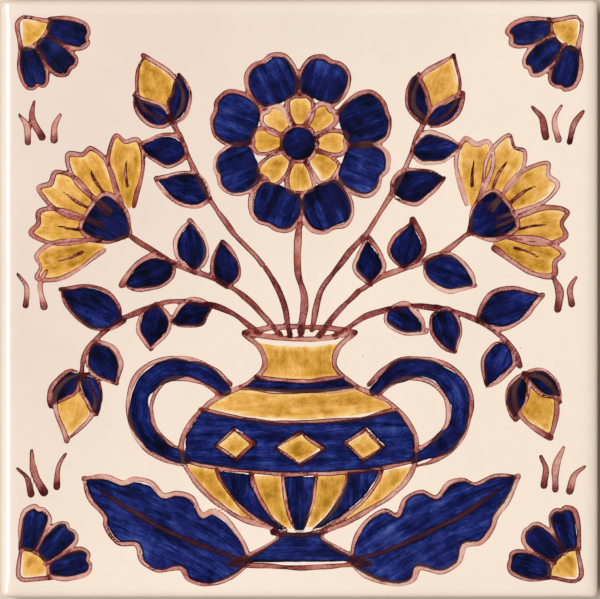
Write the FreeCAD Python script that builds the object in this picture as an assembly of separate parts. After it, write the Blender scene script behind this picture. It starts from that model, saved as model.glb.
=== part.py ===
import FreeCAD, Part
import math
import os

# A square glazed wall tile, lying on its back with the painted face up.
# The origin is on the back plane, under the centre of the tile.
# All sizes are in millimetres.

# Outline of the fired tile.
TILE_SIDE = 150.0
TILE_THICKNESS = 7.0
CORNER_RADIUS = 1.4

# Cushion edge: the face rolls down to the sides in a quarter ellipse.
CUSHION_WIDTH = 3.6
CUSHION_DROP = 1.3
FACE_CORNER_RADIUS = 4.4
CUSHION_SECTIONS = 11

# The sides lean in towards the back, so that set tiles meet at the face.
SIDE_LEAN = 0.5
BACK_BEVEL_WIDTH = 0.6
BACK_BEVEL_HEIGHT = 0.8

# Keyed back: rows of pressed pockets that the mortar grips, split by ribs.
POCKETS_PER_ROW = 12
RIB_WIDTH = 2.2
POCKET_DEPTH = 0.8
POCKET_WALL_LEAN = 0.4
POCKET_CORNER_CUT = 1.2
PLAIN_BORDER = 9.0

NODE_NAME = "tile"


def rounded_square(side: float, radius: float, height: float) -> Part.Wire:
    """Level square outline with round corners, centred on the Z axis."""
    reach = side / 2.0
    start = reach - radius
    diagonal = start + radius * math.cos(math.pi / 4.0)
    edges = []
    for turn in range(4):
        corner = Part.Arc(
            FreeCAD.Vector(reach, start, height),
            FreeCAD.Vector(diagonal, diagonal, height),
            FreeCAD.Vector(start, reach, height),
        ).toShape()
        run = Part.makeLine(
            FreeCAD.Vector(start, reach, height),
            FreeCAD.Vector(-start, reach, height),
        )
        for edge in (corner, run):
            edge.rotate(FreeCAD.Vector(0, 0, 0), FreeCAD.Vector(0, 0, 1), 90.0 * turn)
            edges.append(edge)
    return Part.Wire(edges)


def shoulder() -> float:
    """Height at which the straight sides end and the cushion edge starts."""
    return TILE_THICKNESS - CUSHION_DROP


def side_at(height: float) -> float:
    """Side of the leaning outline at a height up to the shoulder."""
    lean = SIDE_LEAN * (shoulder() - height) / shoulder()
    return TILE_SIDE - 2.0 * lean


def foot_side() -> float:
    """Side of the flat back, inside its bevel."""
    return side_at(0.0) - 2.0 * BACK_BEVEL_WIDTH


def back_edge() -> Part.Shape:
    """Bevelled slab round the back, up to where the straight sides start."""
    foot = rounded_square(foot_side(), CORNER_RADIUS, 0.0)
    top = rounded_square(side_at(BACK_BEVEL_HEIGHT), CORNER_RADIUS, BACK_BEVEL_HEIGHT)
    return Part.makeLoft([foot, top], True, True)


def straight_sides() -> Part.Shape:
    """Leaning sides from the back bevel to the foot of the cushion edge."""
    low = rounded_square(side_at(BACK_BEVEL_HEIGHT), CORNER_RADIUS, BACK_BEVEL_HEIGHT)
    high = rounded_square(TILE_SIDE, CORNER_RADIUS, shoulder())
    return Part.makeLoft([low, high], True, True)


def cushion_cap() -> Part.Shape:
    """Face of the tile, its edges rolled down in a quarter ellipse."""
    sections = []
    for step in range(CUSHION_SECTIONS):
        angle = math.pi / 2.0 * step / (CUSHION_SECTIONS - 1)
        inset_share = 1.0 - math.cos(angle)
        side = TILE_SIDE - 2.0 * CUSHION_WIDTH * inset_share
        radius = CORNER_RADIUS + (FACE_CORNER_RADIUS - CORNER_RADIUS) * inset_share
        height = shoulder() + CUSHION_DROP * math.sin(angle)
        sections.append(rounded_square(side, radius, height))
    return Part.makeLoft(sections, True, False)


def pocket_pitch() -> float:
    """Step from pocket to pocket that fills the back inside its plain border."""
    return (foot_side() - 2.0 * PLAIN_BORDER + RIB_WIDTH) / POCKETS_PER_ROW


def pocket_tool() -> Part.Shape:
    """Tapered block with cut corners that presses one pocket, carried on below the back."""
    mouth = pocket_pitch() - RIB_WIDTH
    low = mouth / 2.0 + POCKET_WALL_LEAN
    high = mouth / 2.0 - POCKET_WALL_LEAN
    block = Part.makeWedge(
        -low, -POCKET_DEPTH, -low, -high, -high, low, POCKET_DEPTH, low, high, high
    )
    block.rotate(FreeCAD.Vector(0, 0, 0), FreeCAD.Vector(1, 0, 0), 90.0)
    slanted = []
    for edge in block.Edges:
        if edge.BoundBox.ZLength > POCKET_DEPTH:
            slanted.append(edge)
    return block.makeChamfer(POCKET_CORNER_CUT, slanted)


def pocket_tools() -> list[Part.Shape]:
    """Pocket tools set out in a square pattern about the centre."""
    tool = pocket_tool()
    pitch = pocket_pitch()
    first = -pitch * (POCKETS_PER_ROW - 1) / 2.0
    tools = []
    for row in range(POCKETS_PER_ROW):
        for column in range(POCKETS_PER_ROW):
            x = first + pitch * column
            y = first + pitch * row
            tools.append(tool.translated(FreeCAD.Vector(x, y, 0.0)))
    return tools


def tile() -> Part.Shape:
    """The whole tile as one solid."""
    body = back_edge().fuse([straight_sides(), cushion_cap()])
    pressed = body.cut(pocket_tools())
    return pressed.removeSplitter().Solids[0]


def main() -> None:
    """Build the tile and write it as a STEP file."""
    os.makedirs("parts", exist_ok=True)
    solid = tile()
    solid.exportStep("parts/" + NODE_NAME + ".step")


main()
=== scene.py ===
"""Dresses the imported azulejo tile: its painted glaze, its glazed edges and its bare keyed back."""

import logging
import math
from dataclasses import dataclass, field, replace
from enum import Enum
from typing import Sequence, Union

import bpy
import numpy as np
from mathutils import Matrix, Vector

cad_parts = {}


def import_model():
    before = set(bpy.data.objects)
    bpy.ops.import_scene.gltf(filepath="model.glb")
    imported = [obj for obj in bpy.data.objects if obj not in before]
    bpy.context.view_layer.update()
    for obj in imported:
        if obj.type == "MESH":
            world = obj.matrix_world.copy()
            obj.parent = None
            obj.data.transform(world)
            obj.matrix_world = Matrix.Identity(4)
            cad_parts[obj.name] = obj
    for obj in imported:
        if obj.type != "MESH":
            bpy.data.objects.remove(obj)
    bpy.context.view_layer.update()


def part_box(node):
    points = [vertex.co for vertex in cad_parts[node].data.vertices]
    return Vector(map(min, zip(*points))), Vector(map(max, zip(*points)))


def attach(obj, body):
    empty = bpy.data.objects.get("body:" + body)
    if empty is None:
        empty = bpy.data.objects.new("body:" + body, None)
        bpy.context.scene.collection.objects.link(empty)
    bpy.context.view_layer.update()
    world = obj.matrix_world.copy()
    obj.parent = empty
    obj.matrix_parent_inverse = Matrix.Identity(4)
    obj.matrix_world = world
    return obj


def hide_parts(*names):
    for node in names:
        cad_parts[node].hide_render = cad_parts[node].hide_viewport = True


Point = tuple[float, float]
Colour = tuple[float, float, float, float]
Socket = bpy.types.NodeSocket
Number = Union[float, Socket]

MM = 0.001
CAD_NODE = "tile"

# Samples on each stretch between two knots of a drawn curve.
KNOT_SAMPLES = 24

# Streaks of each stroke start somewhere on a run of this length, in mm.
STREAK_SHIFT = 400.0

log = logging.getLogger("azulejo")


def paint_colour(red: int, green: int, blue: int) -> Colour:
    """Turns a colour as seen on screen into the linear colour that a shader takes.

    Args:
        red: Red, 0 to 255.
        green: Green, 0 to 255.
        blue: Blue, 0 to 255.

    Returns:
        The linear colour, with full alpha.
    """
    linear = []
    for part in (red, green, blue):
        share = part / 255.0
        linear.append(share / 12.92 if share <= 0.04045 else ((share + 0.055) / 1.055) ** 2.4)
    return (linear[0], linear[1], linear[2], 1.0)


# The painter's tools


class Pigment(Enum):
    """The three oxides on the painter's palette."""

    MANGANESE = "manganese"
    COBALT = "cobalt"
    OCHRE = "ochre"


class Tip(Enum):
    """How one end of a stroke was made."""

    POOL = "pool"
    LIFT = "lift"
    ROUND = "round"


class Hand:
    """The painter's hand: one seeded source of small unevenness."""

    def __init__(self, seed: int) -> None:
        """Starts the hand.

        Args:
            seed: Start of the number sequence, so that every run paints the same tile.
        """
        self._numbers = np.random.default_rng(seed)

    def between(self, low: float, high: float) -> float:
        """A number somewhere between low and high."""
        return float(self._numbers.uniform(low, high))

    def vary(self, value: float, share: float) -> float:
        """The value, larger or smaller by up to a share of itself."""
        return value * (1.0 + share * self.between(-1.0, 1.0))

    def near(self, point: Point, reach: float) -> Point:
        """A point within reach of the one given, along each axis."""
        return (point[0] + self.between(-reach, reach), point[1] + self.between(-reach, reach))

    def loosen(self, points: Sequence[Point], reach: float) -> tuple[Point, ...]:
        """The points, each moved a little."""
        return tuple(self.near(point, reach) for point in points)

    def drift(self, distance: np.ndarray, period: float, amount: float) -> np.ndarray:
        """Wanders smoothly about zero along a stroke.

        Args:
            distance: How far along the stroke each sample lies, in mm.
            period: Length of the slowest swing, in mm.
            amount: Largest swing.

        Returns:
            The offset at each sample.
        """
        total = np.zeros_like(distance)
        for share, weight in ((1.0, 0.6), (0.53, 0.28), (0.29, 0.12)):
            phase = self.between(0.0, 2.0 * math.pi)
            total += weight * np.sin(2.0 * math.pi * distance / (period * share) + phase)
        return amount * total


def smooth_route(points: Sequence[Point], closed: bool, step: float) -> np.ndarray:
    """Draws an even curve through the points of a route.

    Args:
        points: The points that the curve passes through, in mm.
        closed: Whether the curve comes back to its start.
        step: Distance between samples, in mm.

    Returns:
        The samples, one row each.
    """
    knots = np.array(points, float)
    if closed:
        padded = np.vstack([knots[-1], knots, knots[0], knots[1]])
    else:
        padded = np.vstack([2.0 * knots[0] - knots[1], knots, 2.0 * knots[-1] - knots[-2]])
    share = np.linspace(0.0, 1.0, KNOT_SAMPLES, endpoint=False)[:, None]
    pieces = []
    for a, b, c, d in zip(padded[:-3], padded[1:-2], padded[2:-1], padded[3:]):
        bend = (2.0 * a - 5.0 * b + 4.0 * c - d) * share**2
        twist = (3.0 * b - a - 3.0 * c + d) * share**3
        pieces.append(0.5 * (2.0 * b + (c - a) * share + bend + twist))
    pieces.append(padded[-2][None, :])
    dense = np.vstack(pieces)
    run = run_length(dense)
    even = np.linspace(0.0, run[-1], max(int(run[-1] / step), 4) + 1)
    return np.column_stack([np.interp(even, run, dense[:, 0]), np.interp(even, run, dense[:, 1])])


def run_length(route: np.ndarray) -> np.ndarray:
    """Distance from the start of a route to each of its samples."""
    steps = np.diff(route, axis=0)
    return np.concatenate([[0.0], np.cumsum(np.hypot(steps[:, 0], steps[:, 1]))])


def headings(route: np.ndarray) -> np.ndarray:
    """Unit direction of a route at each of its samples."""
    direction = np.gradient(route, axis=0)
    return direction / np.maximum(np.hypot(direction[:, 0], direction[:, 1]), 1e-9)[:, None]


def depth_inside(rim: np.ndarray, x: np.ndarray, y: np.ndarray) -> np.ndarray:
    """Distance from each point to a closed rim, positive inside it.

    Args:
        rim: Samples of the rim, the last the same as the first.
        x: Sideways places of the points.
        y: Upward places of the points.

    Returns:
        The signed distances, shaped as x.
    """
    px, py = x.reshape(-1, 1), y.reshape(-1, 1)
    ax, ay = rim[:-1, 0], rim[:-1, 1]
    dx, dy = np.diff(rim[:, 0]), np.diff(rim[:, 1])
    share = ((px - ax) * dx + (py - ay) * dy) / np.maximum(dx * dx + dy * dy, 1e-12)
    share = np.clip(share, 0.0, 1.0)
    gap = np.hypot(px - ax - share * dx, py - ay - share * dy).min(axis=1)
    crosses = (ay > py) != (ay + dy > py)
    rise = np.where(np.abs(dy) < 1e-12, 1e-12, dy)
    left_of = px < ax + (py - ay) / rise * dx
    inside = np.sum(crosses & left_of, axis=1) % 2 == 1
    return np.where(inside, gap, -gap).reshape(x.shape)


@dataclass(frozen=True)
class Reading:
    """What one mark leaves at each point of the glaze.

    edge is the distance inside the mark in mm, negative outside; depth is how thick the
    pigment lies, 0 to 1; along and across are the brush's own directions in mm.
    """

    edge: np.ndarray
    depth: np.ndarray
    along: np.ndarray
    across: np.ndarray


@dataclass(frozen=True)
class BrushLine:
    """One pull of a round brush along a route.

    Sizes are in mm. wander, swell and flow say how far its path, its width and the depth of
    its paint stray, each with the period named after it.
    """

    route: tuple[Point, ...]
    width: float = 1.4
    pigment: Pigment = Pigment.MANGANESE
    depth: float = 0.35
    start: Tip = Tip.POOL
    end: Tip = Tip.LIFT
    wander: float = 0.22
    wander_period: float = 21.0
    swell: float = 0.2
    swell_period: float = 15.0
    flow: float = 0.13
    flow_period: float = 26.0
    pool_reach: float = 1.5
    pool_swell: float = 0.1
    pool_depth: float = 0.42
    lift_reach: float = 4.5
    lift_share: float = 0.5
    lift_curve: float = 0.8
    spare: float = 3.0
    sample_step: float = 0.2

    def reach(self) -> tuple[np.ndarray, np.ndarray]:
        """Lowest and highest corner of the glaze that the line can touch."""
        knots, spare = np.array(self.route), self.width + self.spare
        return knots.min(axis=0) - spare, knots.max(axis=0) + spare

    def read(self, x: np.ndarray, y: np.ndarray, hand: Hand) -> Reading:
        """Measures the line at points of the glaze.

        Args:
            x: Sideways places of the points, in mm.
            y: Upward places of the points, in mm.
            hand: The painter's hand.

        Returns:
            What the line leaves at each point.
        """
        spine = smooth_route(self.route, False, self.sample_step)
        run = run_length(spine)
        heading = headings(spine)
        side = np.column_stack([-heading[:, 1], heading[:, 0]])
        spine = spine + side * hand.drift(run, self.wander_period, self.wander)[:, None]
        radius = 0.5 * self.width * (1.0 + hand.drift(run, self.swell_period, self.swell))
        depth = self.depth + hand.drift(run, self.flow_period, self.flow)
        for tip, distance in ((self.start, run), (self.end, run[-1] - run)):
            if tip is Tip.LIFT:
                lift = min(self.lift_reach, 0.5 * run[-1])
                press = np.clip(distance / lift, 0.0, 1.0) ** self.lift_curve
                radius = radius * (self.lift_share + (1.0 - self.lift_share) * press)
            if tip is Tip.POOL:
                pool = np.exp(-((distance / self.pool_reach) ** 2))
                radius = radius * (1.0 + self.pool_swell * pool)
                depth = depth + self.pool_depth * pool
        offset_x = x.reshape(-1, 1) - spine[:, 0]
        offset_y = y.reshape(-1, 1) - spine[:, 1]
        gap = np.hypot(offset_x, offset_y)
        nearest = np.argmin(gap - radius, axis=1)
        row = np.arange(len(nearest))
        sway = offset_x[row, nearest] * side[nearest, 0] + offset_y[row, nearest] * side[nearest, 1]
        shift = hand.between(0.0, STREAK_SHIFT)
        return Reading(
            edge=(radius[nearest] - gap[row, nearest]).reshape(x.shape),
            depth=depth[nearest].reshape(x.shape),
            along=(run[nearest] + shift).reshape(x.shape),
            across=sway.reshape(x.shape),
        )


@dataclass(frozen=True)
class Wash:
    """A patch filled in with a soft brush, up to its drawn outline.

    inset is the gap left inside the outline and slip how far the patch may miss its place, in
    mm; fade is how much deeper the paint gets along the brush; bow bends its streaks; spared
    are the outlines left out of it.
    """

    outline: tuple[Point, ...]
    pigment: Pigment
    angle: float
    inset: float = 0.6
    depth: float = 0.5
    fade: float = 0.0
    bow: float = 0.0
    slip: float = 0.28
    rounded: bool = True
    spared: tuple[tuple[Point, ...], ...] = ()
    spare: float = 4.0
    sample_step: float = 0.4

    def reach(self) -> tuple[np.ndarray, np.ndarray]:
        """Lowest and highest corner of the glaze that the patch can touch."""
        knots = np.array(self.outline)
        return knots.min(axis=0) - self.spare, knots.max(axis=0) + self.spare

    def rim(self, outline: Sequence[Point]) -> np.ndarray:
        """Samples an outline.

        Args:
            outline: Its points.

        Returns:
            The samples, the last the same as the first.
        """
        if self.rounded:
            route = smooth_route(outline, True, self.sample_step)
        else:
            route = np.array(outline, float)
        return np.vstack([route, route[:1]])

    def read(self, x: np.ndarray, y: np.ndarray, hand: Hand) -> Reading:
        """Measures the patch at points of the glaze.

        Args:
            x: Sideways places of the points, in mm.
            y: Upward places of the points, in mm.
            hand: The painter's hand.

        Returns:
            What the patch leaves at each point.
        """
        x = x - hand.between(-self.slip, self.slip)
        y = y - hand.between(-self.slip, self.slip)
        rim = self.rim(self.outline)
        edge = depth_inside(rim, x, y) - self.inset
        for patch in self.spared:
            edge = np.minimum(edge, -depth_inside(self.rim(patch), x, y) - self.inset)
        centre = rim[:-1].mean(axis=0)
        turn = math.radians(self.angle)
        brush = np.array([math.cos(turn), math.sin(turn)])
        along = (x - centre[0]) * brush[0] + (y - centre[1]) * brush[1]
        across = (y - centre[1]) * brush[0] - (x - centre[0]) * brush[1]
        half = max(float(np.ptp((rim - centre) @ brush)) / 2.0, 1.0)
        across = across + self.bow * (along / half) ** 2
        shift = hand.between(0.0, STREAK_SHIFT)
        return Reading(
            edge=edge,
            depth=self.depth + self.fade * along / half,
            along=along + shift,
            across=across + shift,
        )


Mark = Union[BrushLine, Wash]


class PigmentLayer:
    """All that one pigment leaves on the face of the tile."""

    FAR = -9.0
    USUAL_DEPTH = 0.4

    def __init__(self, shape: tuple[int, int]) -> None:
        """Starts with a clean glaze.

        Args:
            shape: Rows and columns of the face's points.
        """
        self.edge = np.full(shape, self.FAR)
        self.under = np.full(shape, self.FAR)
        self.depth = np.full(shape, self.USUAL_DEPTH)
        self.along = np.zeros(shape)
        self.across = np.zeros(shape)

    def add(self, window: tuple[slice, slice], reading: Reading) -> None:
        """Lays one mark over those already painted.

        Args:
            window: Rows and columns that the mark was measured on.
            reading: What the mark leaves there.
        """
        edge = self.edge[window]
        wins = reading.edge > edge
        self.under[window] = np.maximum(self.under[window], np.minimum(edge, reading.edge))
        self.edge[window] = np.where(wins, reading.edge, edge)
        self.depth[window] = np.where(wins, reading.depth, self.depth[window])
        self.along[window] = np.where(wins, reading.along, self.along[window])
        self.across[window] = np.where(wins, reading.across, self.across[window])


class Canvas:
    """The glazed face as the painter sees it, in mm from the tile's centre."""

    def __init__(self, x: np.ndarray, y: np.ndarray) -> None:
        """Starts with a clean face.

        Args:
            x: Sideways places of the face's points, columns running right.
            y: Upward places of the face's points, rows running up.
        """
        self.x = x
        self.y = y
        self.layers = {pigment: PigmentLayer(x.shape) for pigment in Pigment}

    def paint(self, marks: Sequence[Mark], hand: Hand) -> None:
        """Paints marks in order.

        Args:
            marks: The strokes and patches.
            hand: The painter's hand.
        """
        middle = self.x.shape[0] // 2
        columns, rows = self.x[middle, :], self.y[:, middle]
        for mark in marks:
            low, high = mark.reach()
            first_row, last_row = np.searchsorted(rows, (low[1], high[1]))
            first_column, last_column = np.searchsorted(columns, (low[0], high[0]))
            window = (slice(int(first_row), int(last_row)), slice(int(first_column), int(last_column)))
            reading = mark.read(self.x[window], self.y[window], hand)
            self.layers[mark.pigment].add(window, reading)


# Motifs of the picture


def turned(points: Sequence[Point], at: Point, angle: float) -> tuple[Point, ...]:
    """Turns points drawn along +X to a heading and moves them to a place.

    Args:
        points: Points about the origin, in mm.
        at: Where the origin goes.
        angle: Heading in degrees.

    Returns:
        The points in place.
    """
    cos, sin = math.cos(math.radians(angle)), math.sin(math.radians(angle))
    return tuple((at[0] + x * cos - y * sin, at[1] + x * sin + y * cos) for x, y in points)


def mirrored(points: Sequence[Point]) -> tuple[Point, ...]:
    """The points on the other side of the tile's upright middle line."""
    return tuple((-x, y) for x, y in points)


# Blades of leaves: share of the length and of the half breadth at points from root to tip.
POINTED = ((0.0, 0.0), (0.14, 0.66), (0.36, 1.0), (0.62, 0.86), (0.85, 0.42), (1.0, 0.0))
LOBED = (
    (0.0, 0.0), (0.07, 0.5), (0.17, 0.88), (0.27, 0.98), (0.33, 0.74), (0.42, 1.06), (0.52, 1.04),
    (0.58, 0.74), (0.67, 0.9), (0.76, 0.72), (0.8, 0.5), (0.9, 0.36), (1.0, 0.0),
)


@dataclass(frozen=True)
class Leaf:
    """A leaf: a filled blade between two drawn edges, halved by a midrib where it is broad.

    full_bow is the bend in degrees at which its streaks bow by its whole breadth.
    """

    root: Point
    heading: float
    length: float
    breadth: float
    bend: float = 0.0
    full_bow: float = 240.0
    fill: Pigment = Pigment.COBALT
    line_depth: float = 0.3
    line_width: float = 1.2
    fill_depth: float = 0.72
    inset: float = 0.3
    looseness: float = 0.35
    swell: tuple[Point, ...] = POINTED
    midrib: bool = False
    midrib_width: float = 1.15
    midrib_depth: float = 0.6
    overlap: float = 0.12

    def side(self, sign: float) -> list[Point]:
        """Points of one edge, from root to tip, drawn along +X and bent.

        Args:
            sign: 1 for the left edge, -1 for the right one.

        Returns:
            The points.
        """
        points = []
        for share, fullness in self.swell:
            curve = math.radians(self.bend) * share
            along = self.length * share
            out = sign * self.breadth / 2.0 * fullness
            x = along * math.cos(curve / 2.0) - out * math.sin(curve)
            y = along * math.sin(curve / 2.0) + out * math.cos(curve)
            points.append((x, y))
        return points

    def marks(self, hand: Hand) -> list[Mark]:
        """The leaf's strokes.

        Args:
            hand: The painter's hand.

        Returns:
            The blade first, then its two edges.
        """
        left = turned(hand.loosen(self.side(1.0), self.looseness), self.root, self.heading)
        right = turned(hand.loosen(self.side(-1.0), self.looseness), self.root, self.heading)
        past_left = turned(self.side(self.overlap), self.root, self.heading)
        past_right = turned(self.side(-self.overlap), self.root, self.heading)
        halves = (left + past_right[-2:0:-1], right + past_left[-2:0:-1])
        result: list[Mark] = []
        for outline in halves if self.midrib else (left + right[-2:0:-1],):
            blade = Wash(
                outline=outline,
                pigment=self.fill,
                angle=self.heading + self.bend / 2.0,
                inset=hand.vary(self.inset, 0.35),
                depth=hand.vary(self.fill_depth, 0.18),
                fade=hand.between(-0.16, 0.16),
                bow=self.breadth * self.bend / self.full_bow,
            )
            result.append(blade)
        if self.midrib:
            rib = turned(self.side(0.0)[:-1], self.root, self.heading)
            result.append(BrushLine(rib, self.midrib_width, depth=self.midrib_depth))
        for edge in (left, tuple(reversed(right))):
            depth = hand.vary(self.line_depth, 0.5)
            result.append(BrushLine(edge, hand.vary(self.line_width, 0.22), depth=depth))
        return result


# Edge of a round petal: share of its reach and of its half angle at points round its crown.
CROWN = (
    (0.0, 1.0), (0.45, 1.12), (0.86, 0.8), (1.0, 0.34), (0.95, 0.0),
    (1.0, -0.34), (0.86, -0.8), (0.45, -1.12), (0.0, -1.0),
)


def round_petal(
    centre: Point, angle: float, half_angle: float, inner: float, outer: float
) -> list[Point]:
    """The edge of a round petal, from its left foot over its crown to its right foot.

    Args:
        centre: Middle of the flower.
        angle: Direction of the petal in degrees.
        half_angle: How far each foot stands from that direction.
        inner: Distance of its feet from the middle.
        outer: Distance of its crown from the middle.

    Returns:
        The points.
    """
    points: list[Point] = []
    for reach, swing in CROWN:
        radius = inner + (outer - inner) * reach
        points += turned([(radius, 0.0)], centre, angle + half_angle * swing)
    return points


def petal_line(edge: tuple[Point, ...], hand: Hand) -> BrushLine:
    """The drawn outline of a petal, from pale to dark as it comes."""
    return BrushLine(edge, hand.vary(1.2, 0.15), depth=hand.vary(0.36, 0.5), end=Tip.ROUND)


@dataclass(frozen=True)
class Rosette:
    """An open flower seen from the front: two rings of round petals about a heart."""

    centre: Point
    radius: float = 22.0
    petals: int = 8
    turn: float = 22.5
    heart_share: float = 0.2
    ring_share: float = 0.54
    heart_points: int = 7
    petal_share: float = 0.87

    def ring(self, inner: float, outer: float, turn: float, fill: Pigment, hand: Hand) -> list[Mark]:
        """One ring of petals.

        Args:
            inner: Distance of the petals' feet from the centre.
            outer: Distance of their crowns.
            turn: Direction of the first petal.
            fill: Pigment that fills them.
            hand: The painter's hand.

        Returns:
            The ring's strokes.
        """
        result: list[Mark] = []
        for index in range(self.petals):
            angle = turn + 360.0 * index / self.petals + hand.between(-2.5, 2.5)
            half_angle = 180.0 / self.petals * self.petal_share
            petal = round_petal(self.centre, angle, half_angle, inner, hand.vary(outer, 0.04))
            edge = hand.loosen(petal, 0.3)
            depth = hand.vary(0.62 if fill is Pigment.COBALT else 0.5, 0.25)
            inset = hand.vary(0.3 if fill is Pigment.COBALT else 0.45, 0.3)
            result.append(Wash(edge, fill, angle, inset=inset, depth=depth, fade=-0.12))
            result.append(petal_line(edge, hand))
        return result

    def marks(self, hand: Hand) -> list[Mark]:
        """The flower's strokes.

        Args:
            hand: The painter's hand.

        Returns:
            Petals from the outside in, then the heart.
        """
        heart, ring = self.radius * self.heart_share, self.radius * self.ring_share
        step = 360.0 / self.petals
        result = self.ring(ring, self.radius, self.turn, Pigment.COBALT, hand)
        result += self.ring(heart, ring * 0.98, self.turn + step / 2.0, Pigment.OCHRE, hand)
        bead = []
        for index in range(self.heart_points):
            bead += turned([(heart, 0.0)], self.centre, 360.0 * index / self.heart_points)
        result.append(Wash(tuple(bead), Pigment.COBALT, 30.0, inset=0.4, depth=0.8))
        result.append(BrushLine(tuple(bead) + tuple(bead[:2]), 1.0, depth=0.5, end=Tip.ROUND))
        return result


@dataclass(frozen=True)
class FanFlower:
    """A flower seen from the side: a fan of petals in a pointed cup."""

    foot: Point
    heading: float
    length: float
    petals: int = 5
    spread: float = 106.0
    cup_share: float = 0.42
    petal_edge: tuple[Point, ...] = (
        (0.3, -0.3), (0.72, -1.0), (0.95, -0.72), (0.94, 0.0), (1.0, 0.66), (0.72, 1.0), (0.3, 0.3),
    )
    cup_edge: tuple[Point, ...] = (
        (0.0, 0.0), (0.4, 0.42), (1.0, 0.5), (1.12, 0.0), (1.0, -0.5), (0.4, -0.42),
    )

    def petal(self, angle: float, reach: float, hand: Hand) -> list[Mark]:
        """One petal with its vein.

        Args:
            angle: Direction of the petal in degrees.
            reach: Distance from the foot to its tip.
            hand: The painter's hand.

        Returns:
            The petal's strokes.
        """
        half = self.length * math.radians(self.spread) / self.petals * 0.46
        local = [(reach * along, half * across) for along, across in self.petal_edge]
        edge = hand.loosen(turned(local, self.foot, angle), 0.25)
        vein = turned([(reach * 0.5, 0.0), (reach * 0.64, 0.3), (reach * 0.78, 0.0)], self.foot, angle)
        fill_depth = hand.vary(0.5, 0.25)
        return [
            Wash(edge, Pigment.OCHRE, angle, inset=hand.vary(0.45, 0.3), depth=fill_depth, fade=-0.14),
            petal_line(edge, hand),
            BrushLine(vein, 0.8, depth=0.45),
        ]

    def marks(self, hand: Hand) -> list[Mark]:
        """The flower's strokes.

        Args:
            hand: The painter's hand.

        Returns:
            The petals, then the cup in front of them.
        """
        result: list[Mark] = []
        for index in range(self.petals):
            swing = self.spread * (index / (self.petals - 1) - 0.5)
            reach = self.length * (1.0 - 0.1 * abs(swing) / self.spread)
            angle = self.heading + swing + hand.between(-2.5, 2.5)
            result += self.petal(angle, hand.vary(reach, 0.04), hand)
        cup = self.length * self.cup_share
        local = [(cup * along, cup * across) for along, across in self.cup_edge]
        bowl = turned(local, self.foot, self.heading)
        result.append(Wash(bowl, Pigment.COBALT, self.heading, inset=0.3, depth=0.75, fade=0.1))
        result.append(BrushLine(bowl + bowl[:1], 1.2, depth=0.42, end=Tip.ROUND))
        return result


@dataclass(frozen=True)
class Bud:
    """A closed bud between two sepals."""

    foot: Point
    heading: float
    length: float

    def marks(self, hand: Hand) -> list[Mark]:
        """The bud's strokes.

        Args:
            hand: The painter's hand.

        Returns:
            The bud, then its sepals.
        """
        body = Leaf(
            self.foot, self.heading, self.length, self.length * 0.6,
            fill=Pigment.OCHRE, fill_depth=0.5, line_depth=0.4, inset=0.45,
        )
        result = body.marks(hand)
        for sign in (1.0, -1.0):
            sepal = Leaf(
                self.foot, self.heading + sign * 52.0, self.length * 0.66, self.length * 0.3,
                bend=-sign * 40.0, line_width=1.05, line_depth=0.45,
            )
            result += sepal.marks(hand)
        return result


@dataclass(frozen=True)
class Grass:
    """A few short curved strokes side by side, each starting in a dark pool."""

    at: Point
    heading: float
    length: float = 8.0
    count: int = 3
    fan: float = 24.0
    spacing: float = 3.4
    width: float = 1.65

    def marks(self, hand: Hand) -> list[Mark]:
        """The strokes.

        Args:
            hand: The painter's hand.

        Returns:
            One stroke for each blade.
        """
        result: list[Mark] = []
        for index in range(self.count):
            step = index - (self.count - 1) / 2.0
            foot = turned([(0.0, -step * self.spacing)], self.at, self.heading)[0]
            length = hand.vary(self.length * (1.0 - 0.1 * abs(step)), 0.2)
            curl = hand.between(0.1, 0.2) * length * (1.0 if step >= 0.0 else -1.0)
            angle = self.heading - self.fan * step + hand.between(-7.0, 7.0)
            local = [(0.0, 0.0), (length * 0.55, curl), (length, curl * 0.3)]
            route = turned(local, hand.near(foot, 0.6), angle)
            width = hand.vary(self.width, 0.15)
            result.append(BrushLine(route, width, depth=hand.vary(0.42, 0.45)))
        return result


class Flower(Enum):
    """What a branch carries at its end."""

    FAN = "fan"
    BUD = "bud"


@dataclass(frozen=True)
class LeafSpot:
    """A leaf's place on a branch: share of its run, side (1 is left), splay in degrees, size."""

    share: float
    side: int
    splay: float
    length: float
    breadth: float


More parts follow.
